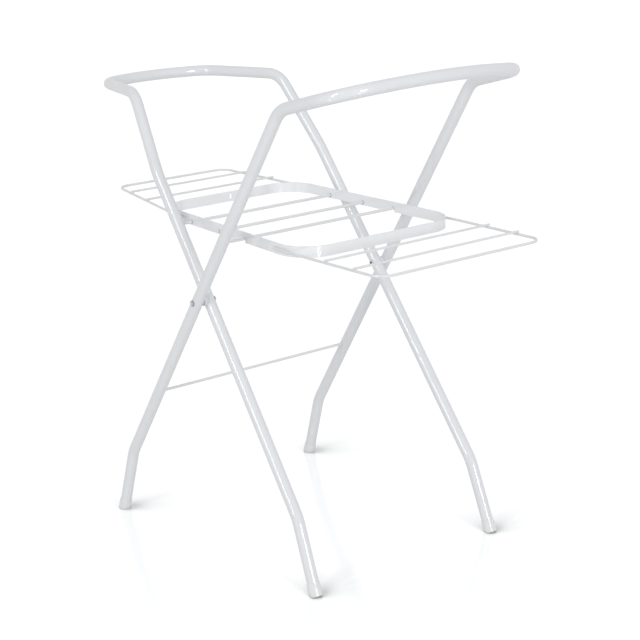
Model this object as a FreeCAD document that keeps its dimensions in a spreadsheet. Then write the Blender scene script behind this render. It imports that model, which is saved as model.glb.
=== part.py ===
import FreeCAD, Part
import math
import os

import Sketcher
from FreeCAD import Placement, Rotation, Vector

# Folding stand for a baby bath, in millimetres and degrees. X runs along the scissor pivots,
# +Y to the narrow handle at the back, +Z up. The origin is on the floor under the pivot axis.

SIZES = {
    # bent tube of both frames
    "tube_diameter": 22.2,
    "tube_wall": 1.2,
    # scissor legs, distances along the leg from the pivot axis
    "pivot_height": 490.0,
    "leg_angle": 35.9,
    "splay_angle": 1.2,
    "kink_distance": 438.0,
    "kink_radius": 90.0,
    "lower_leg_angle": 19.9,
    "inner_half_width": 201.0,
    # inner frame above the rack, where the legs lean together towards a narrow level handle
    "lean_distance": 270.0,
    "lean_angle": 7.35,
    "lean_radius": 200.0,
    "upper_leg_angle": 35.2,
    "upper_leg_length": 172.5,
    "inner_top_radius": 55.0,
    "inner_handle_reach": 188.5,
    "inner_handle_inset": 50.0,
    "inner_corner_radius": 55.0,
    "inner_bow": 50.0,
    # outer frame, with straight legs up to a wide handle that rises outwards
    "outer_top_distance": 466.0,
    "outer_top_radius": 55.0,
    "outer_handle_reach": 144.0,
    "outer_handle_inset": 8.0,
    "outer_handle_rise": 34.0,
    "outer_corner_radius": 78.0,
    "outer_bow": 52.5,
    "outer_bow_rise": 21.0,
    # rivets and saddle spacers at the two pivots
    "rivet_diameter": 7.0,
    "rivet_fit": 0.05,
    "rivet_play": 0.2,
    "rivet_head_diameter": 11.4,
    "rivet_head_height": 2.8,
    "rivet_head_rounding": 2.5,
    "clinch_diameter": 10.4,
    "clinch_thickness": 1.6,
    "clinch_rounding": 0.7,
    "clinch_bore": 5.0,
    "clinch_depth": 14.0,
    "spacer_thickness": 3.4,
    "spacer_diameter": 18.0,
    "spacer_fit": 0.05,
    "spacer_play": 0.3,
    # foot ferrules
    "foot_diameter": 25.0,
    "foot_length": 25.0,
    "foot_base": 7.0,
    "foot_rounding": 1.2,
    "foot_lip_length": 8.0,
    "foot_lip_thickness": 0.5,
    "foot_shoulder_rounding": 3.0,
    "foot_fit": 0.05,
    # straight rods welded between the legs
    "rod_diameter": 6.0,
    "hinge_distance": 159.0,
    "catch_distance": 154.6,
    "stretcher_diameter": 5.4,
    "stretcher_distance": 252.4,
    "rod_weld": 0.6,
    # rack hoop, a strip on edge, distances from the hinge rod
    "strip_height": 20.0,
    "strip_thickness": 2.5,
    "hoop_front": 364.9,
    "hoop_back": 119.8,
    "hoop_side_gap": 19.0,
    "hoop_flare_angle": 2.86,
    "hoop_corner_radius": 64.0,
    "hole_height": 5.9,
    "hinge_play": 0.1,
    "hook_rise": 1.7,
    "hook_slope": 16.1,
    "hook_play": 0.3,
    "slot_offset": 4.8,
    "slot_width": 5.6,
    "slot_height": 10.4,
    # rack wires
    "centre_wire_diameter": 5.8,
    "centre_wire_distance": 97.4,
    "centre_wire_fit": 0.05,
    "centre_wire_end": 1.0,
    "rim_diameter": 5.0,
    "rim_corner_radius": 27.0,
    "cross_wire_diameter": 4.4,
    "cross_wire_overhang": 0.4,
    "wire_weld": 0.2,
    # front wing, distances from the hoop's front
    "front_wing_tail": 81.0,
    "front_wing_grip": 66.0,
    "front_wing_reach": 211.5,
    "front_wing_inset": 2.9,
    "front_wing_tilt": 0.6,
    "front_wire_inner": 70.9,
    "front_wire_outer": 147.3,
    # back wing, distances from the hoop's back
    "back_wing_tail": 92.0,
    "back_wing_grip": 42.0,
    "back_wing_reach": 204.6,
    "back_wing_inset": 35.3,
    "back_wing_tilt": 1.5,
    "back_wire_inner": 58.7,
    "back_wire_outer": 134.7,
}

doc = FreeCAD.newDocument("bath_stand")
sheet = doc.addObject("Spreadsheet::Sheet", "sizes")
for row, (alias, value) in enumerate(SIZES.items(), start=1):
    sheet.set("A%d" % row, alias)
    sheet.set("B%d" % row, str(value))
    sheet.setAlias("B%d" % row, alias)
doc.recompute()

subparts = []
SAME = 1e-4  # lengths and slopes closer than this count as equal


def size(alias):
    return float(sheet.get(alias))


def sine(alias):
    return math.sin(math.radians(size(alias)))


def cosine(alias):
    return math.cos(math.radians(size(alias)))


def tangent(alias):
    return math.tan(math.radians(size(alias)))


def mirrored(point):
    return Vector(-point.x, point.y, point.z)


def keep(piece, label, placement):
    """Name a finished piece, set it in place and list it for writing."""
    piece.Label = label
    piece.Placement = placement
    subparts.append(piece)


# Round bars: along routes of lines and tangent arcs, or straight along X


def half_turn(before, corner, after):
    """Half of the angle that a route turns by at a corner."""
    return (math.pi - (before - corner).getAngle(after - corner)) / 2


def rounded_route(name, points, radii):
    """A wire through the points, each inner corner rounded to its radius."""
    edges = []
    start = points[0]
    for index, radius in enumerate(radii, start=1):
        before, corner, after = points[index - 1 : index + 2]
        back = (before - corner).normalize()
        ahead = (after - corner).normalize()
        turn = half_turn(before, corner, after)
        first = corner + back * (radius * math.tan(turn))
        last = corner + ahead * (radius * math.tan(turn))
        middle = corner + (back + ahead).normalize() * (radius / math.cos(turn) - radius)
        if (first - start).Length > SAME:
            edges.append(Part.LineSegment(start, first).toShape())
        edges.append(Part.Arc(first, middle, last).toShape())
        start = last
    edges.append(Part.LineSegment(start, points[-1]).toShape())
    route = doc.addObject("Part::Feature", name + "_route")
    route.Shape = Part.Wire(edges)
    return route


def swept_bar(name, route, radius_rule):
    """A round bar along a route, its radius bound to the sheet."""
    first_edge = route.Shape.OrderedEdges[0]
    start = first_edge.valueAt(first_edge.FirstParameter)
    heading = first_edge.tangentAt(first_edge.FirstParameter)
    section = doc.addObject("Part::Circle", name + "_section")
    section.setExpression("Radius", radius_rule)
    section.Placement = Placement(start, Rotation(Vector(0, 0, 1), heading))
    bar = doc.addObject("Part::Sweep", name)
    bar.Sections = [section]
    bar.Spine = (route, ["Edge%d" % (number + 1) for number in range(len(route.Shape.Edges))])
    bar.Solid = True
    return bar


def along_x(half_length):
    """Turns a cylinder's axis onto X and centres it."""
    return Placement(Vector(-half_length, 0, 0), Rotation(Vector(0, 1, 0), 90))


def straight_bar(label, radius_rule, half_length, place):
    bar = doc.addObject("Part::Cylinder", label)
    bar.setExpression("Radius", radius_rule)
    bar.Height = 2 * half_length
    keep(bar, label, place.multiply(along_x(half_length)))


# Places on the legs, on the +X side and relative to the middle of the pivot axis

INNER = 1
OUTER = -1
TUBE_HALF_WIDTH = size("tube_diameter") / 2 / cosine("splay_angle")
HALF_WIDTH = {
    INNER: size("inner_half_width"),
    OUTER: size("inner_half_width") + size("tube_diameter") + size("spacer_thickness"),
}
AT_PIVOT = Vector(0, 0, size("pivot_height"))


def leg_point(frame, distance):
    """Place on a leg's straight part, at a distance above the pivot."""
    return Vector(
        HALF_WIDTH[frame] - distance * tangent("splay_angle"),
        frame * distance * sine("leg_angle"),
        distance * cosine("leg_angle"),
    )


def lower_leg_axis(frame):
    """Upward direction of a leg below its kink, which bends in the splayed plane of the leg."""
    upwards = Vector(
        -tangent("splay_angle"),
        frame * sine("lower_leg_angle"),
        cosine("lower_leg_angle"),
    )
    return upwards.normalize()


def floor_point(frame):
    """Where a lower leg's axis meets the floor."""
    kink = leg_point(frame, -size("kink_distance"))
    axis = lower_leg_axis(frame)
    return kink - axis * ((kink.z + size("pivot_height")) / axis.z)


# Tube frames: one bent tube each, from foot to foot over the handle, drilled for its rivets


def handle_points(prefix, frame, top, rise, bow_rise):
    """Corner of the handle that a leg's top leads to, and the middle of the bow."""
    reach = frame * size(prefix + "_handle_reach")
    corner = top + Vector(-size(prefix + "_handle_inset"), reach, rise)
    middle = Vector(0, corner.y + frame * size(prefix + "_bow"), corner.z + bow_rise)
    return corner, middle


def bow_radius(top, corner, middle, corner_radius):
    """Radius of a bow that starts where the handle's corner bends end."""
    corner_length = corner_radius * math.tan(half_turn(top, corner, middle))
    bow_length = (middle - corner).Length - corner_length
    return bow_length / math.tan(half_turn(corner, middle, mirrored(corner)))


def tube_frame(label, prefix, frame, upper_leg, upper_radii, rise, bow_rise):
    foot_end = floor_point(frame) + lower_leg_axis(frame) * size("foot_base")
    kink = leg_point(frame, -size("kink_distance"))
    top = upper_leg[-1]
    corner, middle = handle_points(prefix, frame, top, rise, bow_rise)
    corner_radius = size(prefix + "_corner_radius")
    one_side = [foot_end, kink] + upper_leg + [corner]
    other_side = [mirrored(point) for point in reversed(one_side)]
    bends = [size("kink_radius")] + upper_radii + [corner_radius]
    bow = bow_radius(top, corner, middle, corner_radius)
    route = rounded_route(label, one_side + [middle] + other_side, bends + [bow] + bends[::-1])

    drill = doc.addObject("Part::Cylinder", label + "_drill")
    drill.setExpression("Radius", "sizes.rivet_diameter / 2 + sizes.rivet_fit")
    drill_reach = HALF_WIDTH[frame] + size("tube_diameter")
    drill.Height = 2 * drill_reach
    drill.Placement = along_x(drill_reach)
    hollow = doc.addObject("Part::MultiFuse", label + "_hollow")
    hollow.Shapes = [
        swept_bar(label + "_bore", route, "sizes.tube_diameter / 2 - sizes.tube_wall"),
        drill,
    ]
    tube = doc.addObject("Part::Cut", label)
    tube.Base = swept_bar(label + "_outside", route, "sizes.tube_diameter / 2")
    tube.Tool = hollow
    keep(tube, label, Placement(AT_PIVOT, Rotation()))
    tube.setExpression("Placement.Base.z", "sizes.pivot_height")


lean_point = leg_point(INNER, size("lean_distance"))
upper_leg_run = size("upper_leg_length") * Vector(
    -tangent("lean_angle"),
    sine("upper_leg_angle"),
    cosine("upper_leg_angle"),
)
tube_frame(
    "inner_frame_tube",
    "inner",
    INNER,
    [lean_point, lean_point + upper_leg_run],
    [size("lean_radius"), size("inner_top_radius")],
    rise=0,
    bow_rise=0,
)
tube_frame(
    "outer_frame_tube",
    "outer",
    OUTER,
    [leg_point(OUTER, size("outer_top_distance"))],
    [size("outer_top_radius")],
    rise=size("outer_handle_rise"),
    bow_rise=size("outer_bow_rise"),
)


# Rods between the legs: the rack hangs on the first, hooks onto the second, the third braces


def leg_rod(label, radius_rule, frame, distance):
    place = leg_point(frame, distance)
    centre = Vector(0, place.y, place.z) + AT_PIVOT
    half_length = place.x - TUBE_HALF_WIDTH + size("rod_weld")
    straight_bar(label, radius_rule, half_length, Placement(centre, Rotation()))
    return centre


hinge_axis = leg_rod("rack_hinge_rod", "sizes.rod_diameter / 2", INNER, size("hinge_distance"))
catch_axis = leg_rod("rack_catch_rod", "sizes.rod_diameter / 2", OUTER, size("catch_distance"))
leg_rod("lower_stretcher_rod", "sizes.stretcher_diameter / 2", OUTER, -size("stretcher_distance"))


# Sketches on a body's own planes, drawn roughly and then tied to the sheet


def plane_sketch(body, name, role):
    plane = next(part for part in body.Origin.OriginFeatures if part.Role == role)
    sketch = body.newObject("Sketcher::SketchObject", name)
    sketch.AttachmentSupport = [(plane, "")]
    sketch.MapMode = "FlatFace"
    return sketch


def tie(sketch, kind, geometry, rule):
    """Set one dimension of a sketch by a rule on the sheet, or by a worked-out number."""
    start_value = 1.0 if isinstance(rule, str) else rule
    index = sketch.addConstraint(Sketcher.Constraint(kind, *geometry, start_value))
    if isinstance(rule, str):
        sketch.setExpression("Constraints[%d]" % index, rule)


def tie_point(sketch, geometry, across, up):
    tie(sketch, "DistanceX", (-1, 1, *geometry), across)
    tie(sketch, "DistanceY", (-1, 1, *geometry), up)


def outline(body, name, role, corners):
    """Closed straight outline with each corner's two coordinates tied."""
    sketch = plane_sketch(body, name, role)
    count = len(corners)
    spots = []
    for number in range(count):
        turn = 2 * math.pi * number / count
        spots.append(Vector(math.cos(turn), math.sin(turn), 0))
    for number in range(count):
        sketch.addGeometry(Part.LineSegment(spots[number], spots[(number + 1) % count]))
    for number in range(count):
        sketch.addConstraint(Sketcher.Constraint("Coincident", number, 2, (number + 1) % count, 1))
    for number, (across, up) in enumerate(corners):
        tie_point(sketch, (number, 1), across, up)
    return sketch


def revolved(body, sketch):
    turned = body.newObject("PartDesign::Revolution", sketch.Name + "_turned")
    turned.Profile = sketch
    turned.ReferenceAxis = (sketch, ["V_Axis"])
    turned.Angle = 360
    doc.recompute()
    return turned


def cut_through(body, sketch, sides="Symmetric"):
    """Cut a sketch through the body, both ways from its plane unless told otherwise."""
    before = body.Shape.Volume
    pocket = body.newObject("PartDesign::Pocket", sketch.Name + "_cut")
    pocket.Profile = sketch
    pocket.Type = "ThroughAll"
    pocket.SideType = sides
    doc.recompute()
    if body.Shape.Volume >= before:
        raise RuntimeError(sketch.Name + " cuts nothing")
    return pocket


def rounded(body, base, chosen, radius_rule):
    """Round the edges of a feature that a test picks."""
    edges = base.Shape.Edges
    fillet = body.newObject("PartDesign::Fillet", base.Name + "_rounded")
    fillet.Base = (base, ["Edge%d" % (number + 1) for number, edge in enumerate(edges) if chosen(edge)])
    fillet.setExpression("Radius", radius_rule)
    doc.recompute()
    return fillet


def is_ring(edge, radius, height):
    """Whether an edge is a circle of this radius at this height."""
    circle = edge.Curve
    return (
        isinstance(circle, Part.Circle)
        and math.isclose(circle.Radius, radius, abs_tol=SAME)
        and math.isclose(circle.Center.z, height, abs_tol=SAME)
    )


# Pivot rivets: a domed head outside the outer leg, a hollow clinched end inside the inner leg


def pivot_rivet(label, side):
    body = doc.addObject("PartDesign::Body", label)
    grip_rule = (
        "sizes.tube_diameter + sizes.spacer_thickness"
        " + sizes.tube_diameter / cos(sizes.splay_angle) + 2 * sizes.rivet_play"
    )
    grip = HALF_WIDTH[OUTER] - HALF_WIDTH[INNER] + 2 * TUBE_HALF_WIDTH + 2 * size("rivet_play")
    shank = "sizes.rivet_diameter / 2"
    clinch = "sizes.clinch_diameter / 2"
    bore = "sizes.clinch_bore / 2"
    head = "sizes.rivet_head_diameter / 2"
    clinch_end = "-sizes.clinch_thickness"
    bore_end = "sizes.clinch_depth - sizes.clinch_thickness"
    head_top = grip_rule + " + sizes.rivet_head_height"
    profile = outline(
        body,
        label + "_profile",
        "XZ_Plane",
        [
            (bore, clinch_end),
            (clinch, clinch_end),
            (clinch, "0"),
            (shank, "0"),
            (shank, grip_rule),
            (head, grip_rule),
            (head, head_top),
            ("0", head_top),
            ("0", bore_end),
            (bore, bore_end),
        ],
    )
    turned = revolved(body, profile)
    head_ring = (size("rivet_head_diameter") / 2, grip + size("rivet_head_height"))
    domed = rounded(body, turned, lambda edge: is_ring(edge, *head_ring), "sizes.rivet_head_rounding")
    clinch_ring = (size("clinch_diameter") / 2, -size("clinch_thickness"))
    rounded(body, domed, lambda edge: is_ring(edge, *clinch_ring), "sizes.clinch_rounding")
    bearing_face = HALF_WIDTH[INNER] - TUBE_HALF_WIDTH - size("rivet_play")
    outwards = Rotation(Vector(0, 0, 1), Vector(side, 0, 0))
    keep(body, label, Placement(AT_PIVOT + Vector(side * bearing_face, 0, 0), outwards))


# Pivot spacers: round washers that saddle the inner leg and face the outer leg


def pivot_spacer(label, side):
    blank = doc.addObject("Part::Cylinder", label + "_blank")
    blank.setExpression("Radius", "sizes.spacer_diameter / 2")
    splay_rise = size("spacer_diameter") / 2 * tangent("splay_angle")
    outer_leg_face = HALF_WIDTH[OUTER] - TUBE_HALF_WIDTH - splay_rise
    blank.Height = outer_leg_face - size("spacer_play") - HALF_WIDTH[INNER]
    outwards = Rotation(Vector(0, 0, 1), Vector(side, 0, 0))
    blank.Placement = Placement(Vector(side * HALF_WIDTH[INNER], 0, 0), outwards)
    saddle = doc.addObject("Part::Cylinder", label + "_saddle")
    saddle.setExpression("Radius", "sizes.tube_diameter / 2 + sizes.spacer_fit")
    saddle.setExpression("Height", "2 * sizes.spacer_diameter")
    leg = Vector(-side * tangent("splay_angle"), sine("leg_angle"), cosine("leg_angle")).normalize()
    saddle_end = Vector(side * HALF_WIDTH[INNER], 0, 0) - leg * size("spacer_diameter")
    saddle.Placement = Placement(saddle_end, Rotation(Vector(0, 0, 1), leg))
    drill = doc.addObject("Part::Cylinder", label + "_drill")
    drill.setExpression("Radius", "sizes.rivet_diameter / 2 + sizes.rivet_fit")
    drill.Height = 2 * HALF_WIDTH[OUTER]
    drill.Placement = along_x(HALF_WIDTH[OUTER])
    cutters = doc.addObject("Part::MultiFuse", label + "_cutters")
    cutters.Shapes = [saddle, drill]
    spacer = doc.addObject("Part::Cut", label)
    spacer.Base = blank
    spacer.Tool = cutters
    keep(spacer, label, Placement(AT_PIVOT, Rotation()))
    spacer.setExpression("Placement.Base.z", "sizes.pivot_height")


for side_name, side in (("left", -1), ("right", 1)):
    pivot_rivet("pivot_rivet_" + side_name, side)
    pivot_spacer("pivot_spacer_" + side_name, side)


# Foot ferrules: closed sleeves on the leg ends, worn flat along the floor


def foot(label, frame, side):
    body = doc.addObject("PartDesign::Body", label)
    outside = "sizes.foot_diameter / 2"
    shoulder = "sizes.foot_length - sizes.foot_lip_length"
    bore = "sizes.tube_diameter / 2 + sizes.foot_fit"
    lip = bore + " + sizes.foot_lip_thickness"
    profile = outline(
        body,
        label + "_profile",
        "XZ_Plane",
        [
            ("0", "0"),
            (outside, "0"),
            (outside, shoulder),
            (lip, "sizes.foot_length"),
            (bore, "sizes.foot_length"),
            (bore, "sizes.foot_base"),
            ("0", "sizes.foot_base"),
        ],
    )
    turned = revolved(body, profile)
    radius = size("foot_diameter") / 2
    soled = rounded(body, turned, lambda edge: is_ring(edge, radius, 0), "sizes.foot_rounding")
    shoulder_ring = (radius, size("foot_length") - size("foot_lip_length"))
    rounded(body, soled, lambda edge: is_ring(edge, *shoulder_ring), "sizes.foot_shoulder_rounding")
    floor_rise = "sizes.foot_diameter * tan(sizes.lower_leg_angle)"
    floor = outline(
        body,
        label + "_floor",
        "YZ_Plane",
        [
            ("-sizes.foot_diameter", "-" + floor_rise),
            ("-sizes.foot_diameter", "-2 * " + floor_rise),
            ("sizes.foot_diameter", "-2 * " + floor_rise),
            ("sizes.foot_diameter", floor_rise),
        ],
    )
    splay = side * frame * size("splay_angle")
    floor.AttachmentOffset = Placement(Vector(), Rotation(Vector(1, 0, 0), splay))
    cut_through(body, floor)
    place = floor_point(frame) + AT_PIVOT
    facing = Rotation(Vector(0, 0, 1), 90 - 90 * frame)
    leaning = Rotation(Vector(1, 0, 0), -size("lower_leg_angle"))
    splayed = Rotation(Vector(0, 1, 0), -splay)
    turn = facing.multiply(leaning).multiply(splayed)
    keep(body, label, Placement(Vector(side * place.x, place.y, place.z), turn))


for frame_name, frame in (("front", INNER), ("back", OUTER)):
    for side_name, side in (("left", -1), ("right", 1)):
        foot("%s_%s_foot" % (frame_name, side_name), frame, side)


# Rack frame: its origin is on the hinge rod, and it slopes so that its hooks sit on the catch rod

hinge_to_catch = catch_axis - hinge_axis
HOOK_DISTANCE = math.sqrt(hinge_to_catch.Length**2 - size("hook_rise") ** 2)
rack_slope = math.atan2(hinge_to_catch.z, hinge_to_catch.y) - math.atan2(size("hook_rise"), -HOOK_DISTANCE)
RACK = Placement(hinge_axis, Rotation(Vector(1, 0, 0), math.degrees(rack_slope)))
STRIP_MIDDLE = size("strip_height") / 2 - size("hole_height")
HOOP_HALF_WIDTH = leg_point(INNER, size("hinge_distance")).x - TUBE_HALF_WIDTH - size("hoop_side_gap")


def hoop_half_width(across):
    """Half the hoop's outside width at a distance behind the hinge rod."""
    return HOOP_HALF_WIDTH - across * tangent("hoop_flare_angle")


# Rack hoop: a strip bent to a tapering rounded rectangle, with holes, hooks and a slot at the back


def rack_hoop(label):
    body = doc.addObject("PartDesign::Body", label)
    front = hoop_half_width(-size("hoop_front"))
    back = hoop_half_width(size("hoop_back"))
    plan = outline(
        body,
        label + "_plan",
        "XY_Plane",
        [
            (back, "sizes.hoop_back"),
            (-back, "sizes.hoop_back"),
            (-front, "-sizes.hoop_front"),
            (front, "-sizes.hoop_front"),
        ],
    )
    plan.setExpression("AttachmentOffset.Base.z", "-sizes.hole_height")
    block = body.newObject("PartDesign::Pad", label + "_block")
    block.Profile = plan
    block.setExpression("Length", "sizes.strip_height")
    doc.recompute()

    def is_upright(direction):
        return math.isclose(abs(direction.z), 1, abs_tol=SAME)

    def is_corner(edge):
        return is_upright(edge.tangentAt(edge.FirstParameter))

    bent = rounded(body, block, is_corner, "sizes.hoop_corner_radius")
    faces = bent.Shape.Faces
    strip = body.newObject("PartDesign::Thickness", label + "_strip")
    strip.Base = (
        bent,
        ["Face%d" % (number + 1) for number, face in enumerate(faces) if is_upright(face.normalAt(0, 0))],
    )
    strip.Reversed = True
    strip.setExpression("Value", "sizes.strip_thickness")
    doc.recompute()

    holes = plane_sketch(body, label + "_holes", "YZ_Plane")
    holes.addGeometry(Part.Circle(Vector(0, 0, 0), Vector(0, 0, 1), 1))
    holes.addGeometry(Part.Circle(Vector(-2, 0, 0), Vector(0, 0, 1), 1))
    tie_point(holes, (0, 3), "0", "0")
    tie_point(holes, (1, 3), "-sizes.centre_wire_distance", "0")
    tie(holes, "Radius", (0,), "sizes.rod_diameter / 2 + sizes.hinge_play")
    tie(holes, "Radius", (1,), "sizes.centre_wire_diameter / 2 + sizes.centre_wire_fit")
    cut_through(body, holes)

    room = size("rod_diameter") / 2 + size("hook_play")
    wall = -HOOK_DISTANCE - room
    roof_over_rod = size("hook_rise") + room / cosine("hook_slope")
    roof_at_wall = roof_over_rod + room * tangent("hook_slope")
    below = -size("strip_height")
    mouth_end = -HOOK_DISTANCE + (roof_over_rod - below) / tangent("hook_slope")
    hooks = outline(
        body,
        label + "_hooks",
        "YZ_Plane",
        [(wall, below), (mouth_end, below), (wall, roof_at_wall)],
    )
    cut_through(body, hooks)

    slot_left = "sizes.slot_offset - sizes.slot_width / 2"
    slot_right = "sizes.slot_offset + sizes.slot_width / 2"
    slot_bottom = "sizes.strip_height / 2 - sizes.hole_height - sizes.slot_height / 2"
    slot_top = "sizes.strip_height / 2 - sizes.hole_height + sizes.slot_height / 2"
    slot = outline(
        body,
        label + "_slot",
        "XZ_Plane",
        [
            (slot_left, slot_bottom),
            (slot_right, slot_bottom),
            (slot_right, slot_top),
            (slot_left, slot_top),
        ],
    )
    cut_through(body, slot, sides="One side")
    keep(body, label, RACK)


rack_hoop("rack_hoop")


# Rack wires: a centre wire through the strip, and a rim with two cross wires at each end

centre_wire_across = -size("centre_wire_distance")
straight_bar(
    "rack_centre_wire",
    "sizes.centre_wire_diameter / 2",
    hoop_half_width(centre_wire_across) + size("centre_wire_end"),
    RACK.multiply(Placement(Vector(0, centre_wire_across, 0), Rotation())),
)


def wing(prefix, direction, hoop_end):
    """Rim welded to the outsides of the hoop, with cross wires on top; direction -1 is the front."""
    rim_radius = size("rim_diameter") / 2
    tail = hoop_end - size(prefix + "_wing_tail")
    bend = tail + size(prefix + "_wing_grip")
    end = hoop_end + size(prefix + "_wing_reach")
    beside_strip = (rim_radius - size("wire_weld")) / cosine("hoop_flare_angle")
    bend_half_width = hoop_half_width(direction * bend) + beside_strip
    end_half_width = bend_half_width - size(prefix + "_wing_inset")

    def rim_point(half_width, distance):
        rise = (distance - tail) * tangent(prefix + "_wing_tilt")
        return Vector(half_width, direction * distance, STRIP_MIDDLE + rise)

    one_side = [
        rim_point(hoop_half_width(direction * tail) + beside_strip, tail),
        rim_point(bend_half_width, bend),
        rim_point(end_half_width, end),
    ]
    other_side = [mirrored(point) for point in reversed(one_side)]
    corner = size("rim_corner_radius")
    route = rounded_route(prefix + "_wing_rim", one_side + other_side, [corner] * 4)
    rim = swept_bar(prefix + "_wing_rim", route, "sizes.rim_diameter / 2")
    keep(rim, prefix + "_wing_rim", RACK)

    lift = rim_radius + size("cross_wire_diameter") / 2 - size("wire_weld")
    for position in ("inner", "outer"):
        distance = hoop_end + size("%s_wire_%s" % (prefix, position))
        share = (distance - bend) / (end - bend)
        half_width = bend_half_width + share * (end_half_width - bend_half_width)
        centre = rim_point(0, distance) + Vector(0, 0, lift)
        straight_bar(
            "%s_wing_wire_%s" % (prefix, position),
            "sizes.cross_wire_diameter / 2",
            half_width + rim_radius + size("cross_wire_overhang"),
            RACK.multiply(Placement(centre, Rotation())),
        )


wing("front", -1, size("hoop_front"))
wing("back", 1, size("hoop_back"))


# Check every piece, then write each to its own file

doc.recompute()
for item in doc.Objects:
    if "Invalid" in item.State or "Error" in item.State:
        raise RuntimeError("%s failed: %s" % (item.Name, item.State))
for piece in subparts:
    if piece.Shape.isNull() or not piece.Shape.isValid() or len(piece.Shape.Solids) != 1:
        raise RuntimeError(piece.Label + " is not one sound solid")
os.makedirs("parts", exist_ok=True)
for piece in subparts:
    piece.Shape.exportStep("parts/%s.step" % piece.Label)
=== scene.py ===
from math import atan2, pi, radians, sin

import bmesh
import bpy
from mathutils import Matrix, Vector


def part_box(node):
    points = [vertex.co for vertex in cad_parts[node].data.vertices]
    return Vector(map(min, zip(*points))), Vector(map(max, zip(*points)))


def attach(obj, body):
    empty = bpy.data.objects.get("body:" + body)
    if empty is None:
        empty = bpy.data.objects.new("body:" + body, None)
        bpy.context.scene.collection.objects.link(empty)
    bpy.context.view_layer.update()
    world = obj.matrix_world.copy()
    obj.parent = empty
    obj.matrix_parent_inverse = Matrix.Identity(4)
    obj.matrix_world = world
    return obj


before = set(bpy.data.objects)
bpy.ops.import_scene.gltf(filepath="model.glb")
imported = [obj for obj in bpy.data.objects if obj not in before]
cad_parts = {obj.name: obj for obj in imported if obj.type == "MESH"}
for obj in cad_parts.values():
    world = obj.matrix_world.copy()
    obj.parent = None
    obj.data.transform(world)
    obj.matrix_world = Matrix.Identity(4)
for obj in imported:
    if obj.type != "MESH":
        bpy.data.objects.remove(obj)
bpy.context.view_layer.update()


# Tube frames: two bent steel tubes crossed like scissors, each running from foot to foot over
# a handle. They are powder coated white, a thick glossy coat with a faint orange peel.
smoother_patches = 0.05
duller_patches = 0.07


def start_finish(name):
    finish = bpy.data.materials.new(name)
    finish.use_nodes = True
    nodes = finish.node_tree.nodes
    return finish, nodes, finish.node_tree.links.new, nodes["Principled BSDF"]


def mottle(nodes, link, scale, detail=2.0):
    clouds = nodes.new("ShaderNodeTexNoise")
    clouds.inputs["Scale"].default_value = scale
    clouds.inputs["Detail"].default_value = detail
    link(nodes.new("ShaderNodeTexCoord").outputs["Object"], clouds.inputs["Vector"])
    return clouds.outputs["Fac"]


def fade(nodes, link, value, start=0.0, end=1.0, low=0.0, high=1.0):
    ramp = nodes.new("ShaderNodeMapRange")
    ramp.inputs["From Min"].default_value = start
    ramp.inputs["From Max"].default_value = end
    ramp.inputs["To Min"].default_value = low
    ramp.inputs["To Max"].default_value = high
    link(value, ramp.inputs["Value"])
    return ramp.outputs["Result"]


def paint_over(nodes, link, share, under, over):
    paint = nodes.new("ShaderNodeMix")
    paint.data_type = "RGBA"
    if isinstance(under, tuple):
        paint.inputs["A"].default_value = (*under, 1)
    else:
        link(under, paint.inputs["A"])
    paint.inputs["B"].default_value = (*over, 1)
    link(share, paint.inputs["Factor"])
    return paint.outputs["Result"]


def raise_grain(nodes, link, shader, height, strength, depth):
    bump = nodes.new("ShaderNodeBump")
    bump.inputs["Strength"].default_value = strength
    bump.inputs["Distance"].default_value = depth
    link(height, bump.inputs["Height"])
    link(bump.outputs["Normal"], shader.inputs["Normal"])


def powder_coat(name, pale, deep, peel_size, peel_depth, roughness):
    coat, nodes, link, shader = start_finish(name)
    shader.inputs["Specular IOR Level"].default_value = 0.2
    shader.inputs["Coat Weight"].default_value = 0.32
    shader.inputs["Coat Roughness"].default_value = 0.07
    shader.inputs["Coat IOR"].default_value = 3.5
    clouds = mottle(nodes, link, scale=9.0, detail=4.0)
    link(paint_over(nodes, link, clouds, pale, deep), shader.inputs["Base Color"])
    gloss = fade(
        nodes,
        link,
        mottle(nodes, link, scale=70.0),
        low=roughness - smoother_patches,
        high=roughness + duller_patches,
    )
    link(gloss, shader.inputs["Roughness"])
    peel = mottle(nodes, link, scale=1 / peel_size, detail=1.0)
    raise_grain(nodes, link, shader, peel, strength=0.5, depth=peel_depth)
    return coat


def dress(node_names, material):
    for name in node_names:
        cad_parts[name].material_slots[0].material = material


tube_coat = powder_coat(
    "white tube coat",
    pale=(0.785, 0.795, 0.81),
    deep=(0.735, 0.745, 0.765),
    peel_size=0.0024,
    peel_depth=0.00003,
    roughness=0.38,
)
dress(["inner_frame_tube", "outer_frame_tube"], tube_coat)


# Straight rods welded between the legs: the rack's hinge rod, its catch rod and the stretcher.
# They are drawn steel under the same white coat, which lies thinner and greyer on them.
rod_coat = powder_coat(
    "white rod coat",
    pale=(0.80, 0.805, 0.81),
    deep=(0.72, 0.725, 0.735),
    peel_size=0.0016,
    peel_depth=0.00003,
    roughness=0.38,
)
dress(["rack_hinge_rod", "rack_catch_rod", "lower_stretcher_rod"], rod_coat)


# Weld collars: the bead run round each rod where it meets the inside of a leg. The weld is steel,
# coated together with the frame, and its faint ripples still show through the coat.
collar_height = 0.0024
collar_spread = 0.0021
collar_root = 0.0016
collar_overlap = 0.0003
# Inwards from the leg's face, and the share of the spread left there.
collar_slope = ((-0.0007, 1.0), (0.0002, 0.65), (0.0009, 0.3), (0.0016, 0.1))
rod_embedding = 0.0006
ripple_count = 14
ripple_steps = 8
ripple_share = 0.05
merge_distance = 1e-6
weld_coat = powder_coat(
    "white coat over welds",
    pale=(0.74, 0.745, 0.755),
    deep=(0.63, 0.635, 0.645),
    peel_size=0.0011,
    peel_depth=0.0002,
    roughness=0.42,
)


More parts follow.
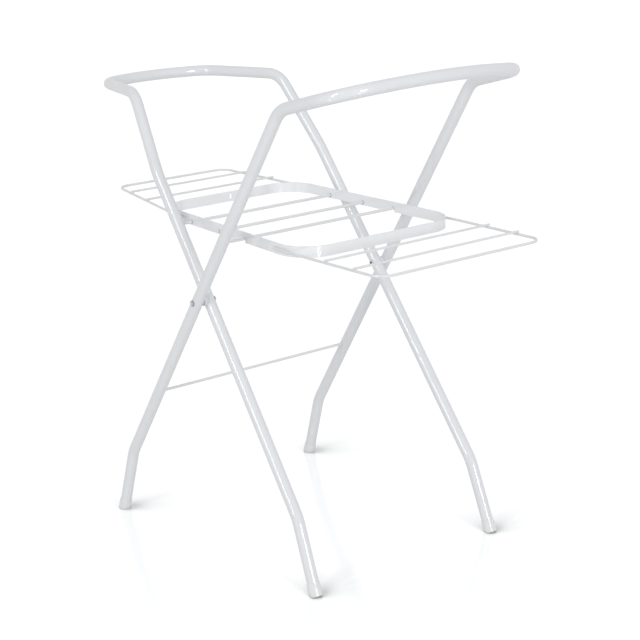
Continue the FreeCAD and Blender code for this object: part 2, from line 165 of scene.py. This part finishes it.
def finish_weld(name, weld, body):
    bmesh.ops.remove_doubles(weld, verts=weld.verts, dist=merge_distance)
    bmesh.ops.recalc_face_normals(weld, faces=weld.faces)
    for face in weld.faces:
        face.smooth = True
    mesh = bpy.data.meshes.new(name)
    weld.to_mesh(mesh)
    weld.free()
    mesh.materials.append(weld_coat)
    piece = bpy.data.objects.new(name, mesh)
    bpy.context.scene.collection.objects.link(piece)
    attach(piece, body)
    return piece


def rod_axis(rod):
    low, high = Vector(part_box(rod)[0]), Vector(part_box(rod)[1])
    return (low + high) / 2, (high.x - low.x) / 2, (high.z - low.z) / 2


def weld_collar(name, rod, side, body):
    middle, half_length, rod_radius = rod_axis(rod)
    leg_face = middle + Vector((side * (half_length - rod_embedding), 0, 0))
    hidden = rod_radius - collar_overlap
    section = [(-collar_root, hidden), (-collar_root, rod_radius + collar_spread)]
    for inwards, share in collar_slope:
        section.append((inwards, rod_radius + share * collar_spread))
    section.append((collar_height, hidden))
    weld = bmesh.new()
    ring = []
    for inwards, radius in section:
        ring.append(weld.verts.new(leg_face + Vector((-side * inwards, 0, radius))))
    edges = []
    for number, vert in enumerate(ring):
        edges.append(weld.edges.new((vert, ring[(number + 1) % len(ring)])))
    bmesh.ops.spin(
        weld,
        geom=ring + edges,
        cent=leg_face,
        axis=(1, 0, 0),
        angle=2 * pi,
        steps=ripple_steps * ripple_count,
        use_merge=True,
    )
    for vert in weld.verts:
        spoke = vert.co - leg_face
        spoke.x = 0
        proud = max(spoke.length - rod_radius, 0)
        ripple = ripple_share * sin(ripple_count * atan2(spoke.y, spoke.z))
        vert.co += spoke.normalized() * proud * ripple
    finish_weld(name, weld, body)


for rod, body in (
    ("rack_hinge_rod", "inner_frame"),
    ("rack_catch_rod", "outer_frame"),
    ("lower_stretcher_rod", "outer_frame"),
):
    weld_collar(rod + "_weld_left", rod, -1, body)
    weld_collar(rod + "_weld_right", rod, 1, body)


# Pivot rivets: hollow steel rivets, zinc plated, with a domed head outside and a clinched end
# inside. They join the frames after coating, so they stay bare. Shade is painted on them: the
# heads darken towards the rim as a painted dark outline, and the bores are painted black.
pivot_height = 0.490
bore_radius = 0.0025
bore_edge = 0.0003
bore_reach = 0.215
head_radius = 0.0057
rim_start = 0.62 * head_radius
rim_end = 0.92 * head_radius
rim_darkening = 0.5
pale_zinc = (0.64, 0.65, 0.67)
deep_zinc = (0.48, 0.49, 0.51)
painted_shade_black = (0.03, 0.03, 0.032)


def distance_from_axis(nodes, link, axis):
    centred = nodes.new("ShaderNodeMapping")
    centred.inputs["Location"].default_value = (0, -axis.y, -axis.z)
    centred.inputs["Scale"].default_value = (0, 1, 1)
    link(nodes.new("ShaderNodeTexCoord").outputs["Object"], centred.inputs["Vector"])
    distance = nodes.new("ShaderNodeVectorMath")
    distance.operation = "LENGTH"
    link(centred.outputs["Vector"], distance.inputs[0])
    return distance.outputs["Value"]


def place_along(nodes, link, axis):
    place = nodes.new("ShaderNodeSeparateXYZ")
    link(nodes.new("ShaderNodeTexCoord").outputs["Object"], place.inputs["Vector"])
    return place.outputs[axis]


def combine(nodes, link, operation, *values):
    result = nodes.new("ShaderNodeMath")
    result.operation = operation
    for socket, value in zip(result.inputs, values):
        if isinstance(value, float):
            socket.default_value = value
        else:
            link(value, socket)
    return result.outputs["Value"]


zinc, nodes, link, shader = start_finish("zinc plated steel")
shader.inputs["Metallic"].default_value = 1.0
spangle = mottle(nodes, link, scale=420.0, detail=3.0)
plate = paint_over(nodes, link, spangle, pale_zinc, deep_zinc)
from_pivot = distance_from_axis(nodes, link, Vector((0, 0, pivot_height)))
from_middle = combine(nodes, link, "ABSOLUTE", place_along(nodes, link, "X"))
# Painted shade: black inside the bore at the clinched end, and a dark ring towards the rim of each
# outer head.
in_bore = fade(nodes, link, from_pivot, start=bore_radius + bore_edge, end=bore_radius)
inner_end = combine(nodes, link, "LESS_THAN", from_middle, bore_reach)
painted_bore_shade = combine(nodes, link, "MULTIPLY", in_bore, inner_end)
at_rim = fade(nodes, link, from_pivot, start=rim_start, end=rim_end, high=rim_darkening)
outer_end = combine(nodes, link, "GREATER_THAN", from_middle, bore_reach)
painted_rim_shade = combine(nodes, link, "MULTIPLY", at_rim, outer_end)
darkening = combine(nodes, link, "MAXIMUM", painted_bore_shade, painted_rim_shade)
link(paint_over(nodes, link, darkening, plate, painted_shade_black), shader.inputs["Base Color"])
link(fade(nodes, link, spangle, low=0.26, high=0.46), shader.inputs["Roughness"])
dress(["pivot_rivet_left", "pivot_rivet_right"], zinc)


# Pivot spacers: moulded plastic saddles held between the crossing tubes by the rivets. They are
# pale bluish grey and slightly mottled all over, with a fine grain.
grain_strength = 0.4
grain_depth = 0.00004
dulled_by_smudges = 0.2


def moulded_plastic(name, clean, dusty, dust_top, grain_size, roughness):
    plastic, nodes, link, shader = start_finish(name)
    shader.inputs["Specular IOR Level"].default_value = 0.8
    low_down = fade(nodes, link, place_along(nodes, link, "Z"), start=dust_top, end=0.0)
    smudge = mottle(nodes, link, scale=260.0, detail=5.0)
    dust = combine(nodes, link, "MULTIPLY", low_down, smudge)
    link(paint_over(nodes, link, dust, clean, dusty), shader.inputs["Base Color"])
    dulling = fade(nodes, link, smudge, low=roughness, high=roughness + dulled_by_smudges)
    link(dulling, shader.inputs["Roughness"])
    grain = mottle(nodes, link, scale=1 / grain_size)
    raise_grain(nodes, link, shader, grain, grain_strength, grain_depth)
    return plastic


spacer_plastic = moulded_plastic(
    "bluish grey spacer plastic",
    clean=(0.78, 0.79, 0.86),
    dusty=(0.64, 0.66, 0.74),
    dust_top=1.0,
    grain_size=0.0008,
    roughness=0.35,
)
dress(["pivot_spacer_left", "pivot_spacer_right"], spacer_plastic)


# Foot ferrules: off-white moulded plastic caps pushed onto the leg ends. They are glossier than
# the spacers and carry a little dust at the sole.
foot_plastic = moulded_plastic(
    "off-white foot plastic",
    clean=(0.79, 0.79, 0.79),
    dusty=(0.46, 0.45, 0.43),
    dust_top=0.007,
    grain_size=0.0006,
    roughness=0.1,
)
dress(["front_left_foot", "front_right_foot", "back_left_foot", "back_right_foot"], foot_plastic)


# Rack hoop: a steel strip bent on edge to a rounded tapering frame and coated white. Round the
# hinge holes, the hooks and the centre wire's holes, where the rods and the wire sit in them, a
# dark ring is painted on the coat as the shade in the gap.
hole_shade_reach = 0.0011
hole_shade_core = 0.0005
hole_shade_dark = (0.10, 0.10, 0.105)
hoop_coat = powder_coat(
    "white strip coat",
    pale=(0.87, 0.88, 0.895),
    deep=(0.81, 0.82, 0.835),
    peel_size=0.0018,
    peel_depth=0.00003,
    roughness=0.4,
)


def paint_shade_round_rod(coat, rod):
    middle, _, rod_radius = rod_axis(rod)
    nodes = coat.node_tree.nodes
    link = coat.node_tree.links.new
    colour = nodes["Principled BSDF"].inputs["Base Color"]
    coated = colour.links[0].from_socket
    # Painted shade: a dark ring round the rods and the centre wire where they pass through the
    # hoop.
    from_rod = distance_from_axis(nodes, link, middle)
    shade_round_rod = fade(nodes, link, from_rod, start=rod_radius + hole_shade_reach, end=rod_radius + hole_shade_core)
    link(paint_over(nodes, link, shade_round_rod, coated, hole_shade_dark), colour)


paint_shade_round_rod(hoop_coat, "rack_hinge_rod")
paint_shade_round_rod(hoop_coat, "rack_catch_rod")
paint_shade_round_rod(hoop_coat, "rack_centre_wire")
dress(["rack_hoop"], hoop_coat)


# Rack wires: a centre wire through the hoop, and a bent rim with two cross wires at each end. They
# are drawn steel, welded to the hoop and coated with it, so the coat is as thin as on the rods.
dress(
    [
        "rack_centre_wire",
        "front_wing_rim",
        "front_wing_wire_inner",
        "front_wing_wire_outer",
        "back_wing_rim",
        "back_wing_wire_inner",
        "back_wing_wire_outer",
    ],
    rod_coat,
)


# Rack welds: a short bead in the groove over each end of a rim, where it lies on the hoop's
# outside, and a nugget under each end of a cross wire, pressed and fused onto the rim.
bead_length = 0.013
bead_radius = 0.0016
bead_steps = 14
# Place along the bead and its thickness there, as shares of its length and radius.
bead_outline = (
    (-0.5, 0),
    (-0.42, 0.6),
    (-0.2, 0.95),
    (0.05, 1),
    (0.28, 0.9),
    (0.44, 0.55),
    (0.5, 0),
)
# Middle of each bead on the right-hand side, and the direction of the rim there.
bead_places = (
    ((0.1831, -0.1995, 0.6166), (0.05, -1, -0.03)),
    ((0.1668, 0.1300, 0.6261), (-0.05, 1, 0.03)),
)
nugget_length = 0.0064
nugget_radius = 0.0017
nugget_direction = (0, 1, 0)
nugget_places = (
    (0.18625, -0.34260, 0.61417),
    (0.18527, -0.41900, 0.61277),
    (0.15131, 0.27136, 0.63424),
    (0.14077, 0.34727, 0.63842),
)


def add_bead(weld, middle, along, length, thickness):
    along = Vector(along).normalized()
    across = along.orthogonal().normalized()
    line = []
    for share, swell in bead_outline:
        spot = Vector(middle) + along * share * length
        line.append(weld.verts.new(spot + across * swell * thickness))
    edges = []
    for start, end in zip(line, line[1:]):
        edges.append(weld.edges.new((start, end)))
    bmesh.ops.spin(
        weld,
        geom=line + edges,
        cent=middle,
        axis=along,
        angle=2 * pi,
        steps=bead_steps,
        use_merge=True,
    )


rack_weld = bmesh.new()
for side in (-1, 1):
    for (half_width, depth, height), (sideways, backwards, upwards) in bead_places:
        middle = (side * half_width, depth, height)
        along = (side * sideways, backwards, upwards)
        add_bead(rack_weld, middle, along, bead_length, bead_radius)
    for half_width, depth, height in nugget_places:
        middle = (side * half_width, depth, height)
        add_bead(rack_weld, middle, nugget_direction, nugget_length, nugget_radius)
finish_weld("rack_welds", rack_weld, "rack")


# Studio floor: a wide white sheet with a slight polish. It takes the lamps' soft shadows and the
# faint reflections of the feet, and is plain white elsewhere. Near the feet a shadow is also
# painted: the white glow is dimmed where ambient occlusion, aimed towards the left softbox, finds
# the legs close by.
floor_half_width = 30.0
contact_reach = 0.12
contact_shaded = 0.74
contact_clear = 0.95
white_gain = 0.34
towards_lamp = {"X": -0.85, "Y": -0.2, "Z": 0.48}
floor_mesh = bpy.data.meshes.new("studio_floor")
floor_shape = bmesh.new()
bmesh.ops.create_grid(floor_shape, x_segments=1, y_segments=1, size=floor_half_width)
floor_shape.to_mesh(floor_mesh)
floor_shape.free()
floor = bpy.data.objects.new("studio_floor", floor_mesh)
bpy.context.scene.collection.objects.link(floor)


def seen_directly(nodes, link):
    rays = nodes.new("ShaderNodeLightPath").outputs
    straight = combine(nodes, link, "MAXIMUM", rays["Is Camera Ray"], rays["Is Glossy Ray"])
    return combine(nodes, link, "MAXIMUM", straight, rays["Is Transmission Ray"])


floor_sheet, nodes, link, shader = start_finish("white floor sheet")
shader.inputs["Base Color"].default_value = (0.8, 0.8, 0.8, 1)
shader.inputs["Roughness"].default_value = 0.14
shader.inputs["IOR"].default_value = 2.2
openness = nodes.new("ShaderNodeAmbientOcclusion")
openness.samples = 16
openness.inputs["Distance"].default_value = contact_reach
lamp_side = nodes.new("ShaderNodeCombineXYZ")
for axis, share in towards_lamp.items():
    lamp_side.inputs[axis].default_value = share
link(lamp_side.outputs["Vector"], openness.inputs["Normal"])
# Painted shadow: the white glow fades out where the occlusion towards the left softbox is strong.
glow_less_painted_shadow = fade(
    nodes,
    link,
    openness.outputs["AO"],
    start=contact_shaded,
    end=contact_clear,
    high=white_gain,
)
glow = nodes.new("ShaderNodeEmission")
glow_level = combine(nodes, link, "MULTIPLY", glow_less_painted_shadow, seen_directly(nodes, link))
link(glow_level, glow.inputs["Strength"])
sheet = nodes.new("ShaderNodeAddShader")
link(shader.outputs["BSDF"], sheet.inputs[0])
link(glow.outputs["Emission"], sheet.inputs[1])
link(sheet.outputs["Shader"], nodes["Material Output"].inputs["Surface"])
floor_mesh.materials.append(floor_sheet)


# Studio room: pale walls all round, lit most in front of the stand and dimmer behind it. To the
# camera and in reflections they are plain white.
front_wall_light = 0.81
back_wall_light = 0.50
towards_back_wall = (0.3, 0.95, 0.0)
room = bpy.data.worlds.new("studio_room")
bpy.context.scene.world = room
room.use_nodes = True
nodes = room.node_tree.nodes
link = room.node_tree.links.new
walls = nodes["Background"]
walls.inputs["Color"].default_value = (0.97, 0.985, 1.0, 1)
facing_back = nodes.new("ShaderNodeVectorMath")
facing_back.operation = "DOT_PRODUCT"
facing_back.inputs[1].default_value = towards_back_wall
link(nodes.new("ShaderNodeTexCoord").outputs["Generated"], facing_back.inputs[0])
wall_light = fade(
    nodes,
    link,
    facing_back.outputs["Value"],
    start=-1.0,
    low=front_wall_light,
    high=back_wall_light,
)
link(wall_light, walls.inputs["Strength"])
white = nodes.new("ShaderNodeBackground")
white.inputs["Color"].default_value = (1, 1, 1, 1)
choice = nodes.new("ShaderNodeMixShader")
link(seen_directly(nodes, link), choice.inputs[0])
link(walls.outputs["Background"], choice.inputs[1])
link(white.outputs["Background"], choice.inputs[2])
link(choice.outputs["Shader"], nodes["World Output"].inputs["Surface"])


# Softboxes: a tall narrow one high on the left, which draws the bright streaks along the legs, and
# a square one in front. Both are aimed at the middle of the stand.
stand_middle = Vector((0, 0, 0.5))


def softbox(name, place, width, height, power):
    lamp = bpy.data.lights.new(name, "AREA")
    lamp.shape = "RECTANGLE"
    lamp.size = width
    lamp.size_y = height
    lamp.energy = power
    box = bpy.data.objects.new(name, lamp)
    bpy.context.scene.collection.objects.link(box)
    aim = stand_middle - Vector(place)
    turn = aim.to_track_quat("-Z", "Y").to_matrix().to_4x4()
    box.matrix_world = Matrix.Translation(place) @ turn


softbox("softbox_left", place=(-4.6, -1.2, 2.95), width=0.5, height=3.4, power=50.0)
softbox("softbox_front", place=(-0.8, -5.5, 1.5), width=1.1, height=1.1, power=52.0)


# Camera: a long lens a little above the handles, in front of the left-hand side, turned slightly
# about its own axis as the photograph is.
camera_place = (-1.8328, -2.4953, 1.2566)
azimuth = radians(-37.386)
elevation = radians(15.139)
roll = radians(-2.538)
lens = bpy.data.cameras.new("camera")
lens.sensor_width = 36.0
lens.lens = 93.24
lens.shift_x = -0.01194
lens.shift_y = -0.00906
lens.clip_end = 200.0
camera = bpy.data.objects.new("camera", lens)
bpy.context.scene.collection.objects.link(camera)
facing = Matrix.Rotation(azimuth, 4, "Z") @ Matrix.Rotation(pi / 2 - elevation, 4, "X")
standing = Matrix.Translation(camera_place) @ facing
camera.matrix_world = standing @ Matrix.Rotation(roll, 4, "Z")
bpy.context.scene.camera = camera
bpy.context.scene.view_settings.view_transform = "Standard"
